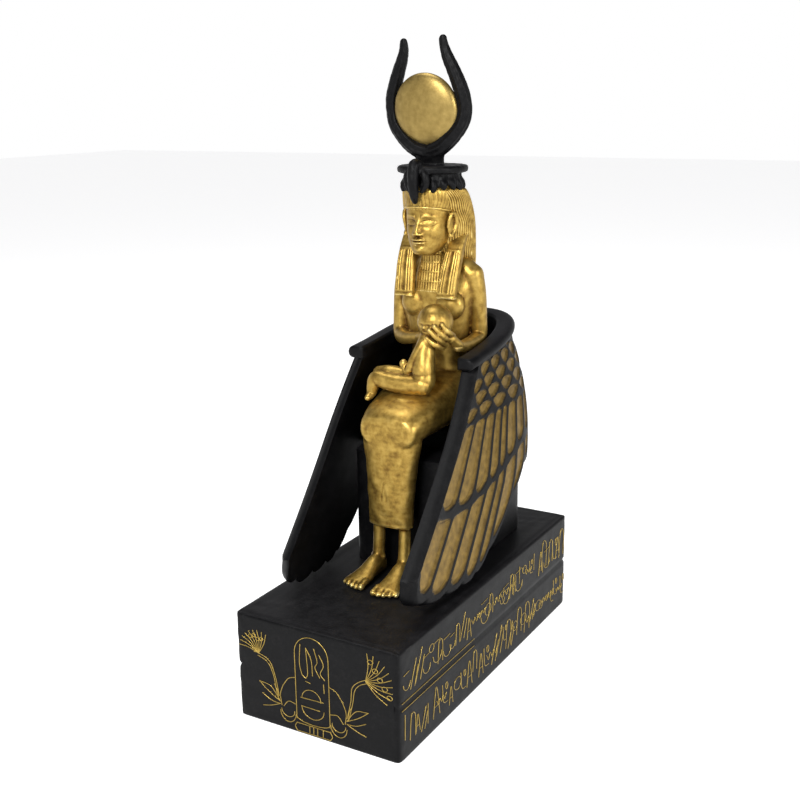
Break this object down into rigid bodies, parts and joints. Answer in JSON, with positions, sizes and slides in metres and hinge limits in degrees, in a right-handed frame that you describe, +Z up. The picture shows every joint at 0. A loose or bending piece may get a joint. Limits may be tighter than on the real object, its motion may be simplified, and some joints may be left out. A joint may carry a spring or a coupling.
{
  "type": "statue",
  "caption": "Seated crowned figure nursing a child on a winged throne, on an oblong plinth.",
  "frame": {"origin": "middle of the plinth's underside", "axes": "+Z up, +X the statue's left side, the statue faces -Y"},
  "size_m": [0.0808, 0.1728, 0.284],
  "materials": {
    "black_paint": "mottled black paint on cast resin, semi-matte",
    "gold_paint": "antique gold metallic paint on cast resin, brown in the recesses"
  },
  "bodies": {
    "root": {"plinth": "black_paint", "throne": "black_paint", "figure": "gold_paint", "crown": "black_paint"}
  },
  "joints": []
}
